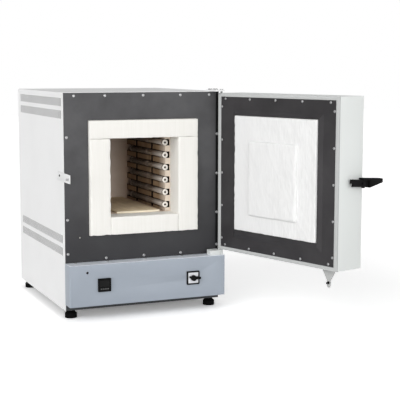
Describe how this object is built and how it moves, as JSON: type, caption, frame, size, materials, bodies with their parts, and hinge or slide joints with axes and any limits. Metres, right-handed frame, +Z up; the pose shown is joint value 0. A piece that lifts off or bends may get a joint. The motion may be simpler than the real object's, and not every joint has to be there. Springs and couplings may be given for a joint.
{
  "type": "electric chamber furnace",
  "caption": "Electric chamber furnace with a side-hinged door standing open, a fibre collar, heating tubes on both chamber walls and a control box in front.",
  "frame": {"origin": "centre of the casing's underside; the feet reach below it", "axes": "+Z up, -Y towards the front where the door is, +X towards the door's hinge"},
  "size_m": [0.9632, 1.2839, 0.8205],
  "materials": {
    "white_paint": "satin powder coat",
    "door_paint": "satin powder coat",
    "panel_paint": "satin powder coat",
    "dark_steel": "matt, lightly brushed",
    "zinc_sheet": "plain sheet",
    "bright_steel": "zinc plated",
    "black_steel": "matt black",
    "fibre": "matt pressed fibre",
    "insulation": "matt fibre board",
    "brick": "matt light brick",
    "hearth": "matt fired slab",
    "tube_ceramic": "matt",
    "heating_wire": "oxidised",
    "black_plastic": "fine texture",
    "grey_plastic": "smooth",
    "screen": "gloss",
    "switch_face": "satin",
    "pale_plastic": "smooth",
    "red_plastic": "smooth",
    "rubber": "matt"
  },
  "bodies": {
    "casing": {"casing_wrap": "white_paint", "base_tray": "zinc_sheet", "rear_cover": "white_paint", "casing_screws": "bright_steel", "front_plate": "dark_steel", "collar_top": "fibre", "collar_bottom": "fibre", "collar_sides": "fibre", "chamber_roof": "brick", "chamber_floor": "brick", "chamber_wall_left": "brick", "chamber_wall_right": "brick", "chamber_back": "brick", "insulation_top": "insulation", "insulation_bottom": "insulation", "insulation_sides": "insulation", "insulation_back": "insulation", "inner_shell": "zinc_sheet", "heater_tubes": "tube_ceramic", "heater_windings": "heating_wire", "hearth_plate": "hearth", "thermocouple": "tube_ceramic", "control_panel": "panel_paint", "controller_bezel": "black_plastic", "controller_screen": "screen", "controller_case": "black_plastic", "switch_frame": "black_plastic", "switch_plate": "switch_face", "switch_body": "black_plastic", "interlock_switch": "black_plastic", "catch_plate": "white_paint", "catch_screw": "black_steel", "catch_pin": "bright_steel", "hinge_plate_top": "white_paint", "hinge_bolts": "bright_steel", "hinge_pins": "bright_steel", "hinge_block_bottom": "door_paint", "foot_pads": "rubber", "foot_studs": "bright_steel", "cable_gland": "black_plastic", "relay": "pale_plastic"},
    "door": {"door_shell": "door_paint", "door_inner_plate": "dark_steel", "door_plate_screws": "bright_steel", "door_insulation": "insulation", "door_pad": "fibre", "door_plug": "fibre", "door_bushes": "zinc_sheet", "interlock_tab": "door_paint", "interlock_pin": "black_steel", "latch_base": "black_steel", "latch_pivot": "black_steel"},
    "latch": {"latch_arm": "black_steel", "latch_grip": "black_plastic"},
    "knob": {"switch_knob": "black_plastic"},
    "plunger": {"interlock_plunger": "red_plastic"},
    "key_1_body": {"key_1": "grey_plastic"},
    "key_2_body": {"key_2": "grey_plastic"},
    "key_3_body": {"key_3": "grey_plastic"},
    "key_4_body": {"key_4": "grey_plastic"}
  },
  "joints": [
    {"name": "door_hinge", "type": "hinge", "parent": "casing", "child": "door", "pos_m": [0.292, -0.365, 0.48], "axis": [0, 0, 1], "range_deg": [-107, 38]},
    {"name": "latch_lever", "type": "hinge", "parent": "door", "child": "latch", "pos_m": [0.55503, -0.91409, 0.4845], "axis": [0.2924, -0.9563, 0], "range_deg": [0, 7]},
    {"name": "switch_turn", "type": "hinge", "parent": "casing", "child": "knob", "pos_m": [0.17, -0.394, 0.0965], "axis": [0, -1, 0], "range_deg": [0, 90]},
    {"name": "door_switch", "type": "slide", "parent": "casing", "child": "plunger", "axis": [0, 1, 0], "range_m": [0, 0.004], "stiffness_N_per_m": 200},
    {"name": "key_1_press", "type": "slide", "parent": "casing", "child": "key_1_body", "axis": [0, 1, 0], "range_m": [0, 0.0006], "stiffness_N_per_m": 300},
    {"name": "key_2_press", "type": "slide", "parent": "casing", "child": "key_2_body", "axis": [0, 1, 0], "range_m": [0, 0.0006], "stiffness_N_per_m": 300},
    {"name": "key_3_press", "type": "slide", "parent": "casing", "child": "key_3_body", "axis": [0, 1, 0], "range_m": [0, 0.0006], "stiffness_N_per_m": 300},
    {"name": "key_4_press", "type": "slide", "parent": "casing", "child": "key_4_body", "axis": [0, 1, 0], "range_m": [0, 0.0006], "stiffness_N_per_m": 300}
  ]
}
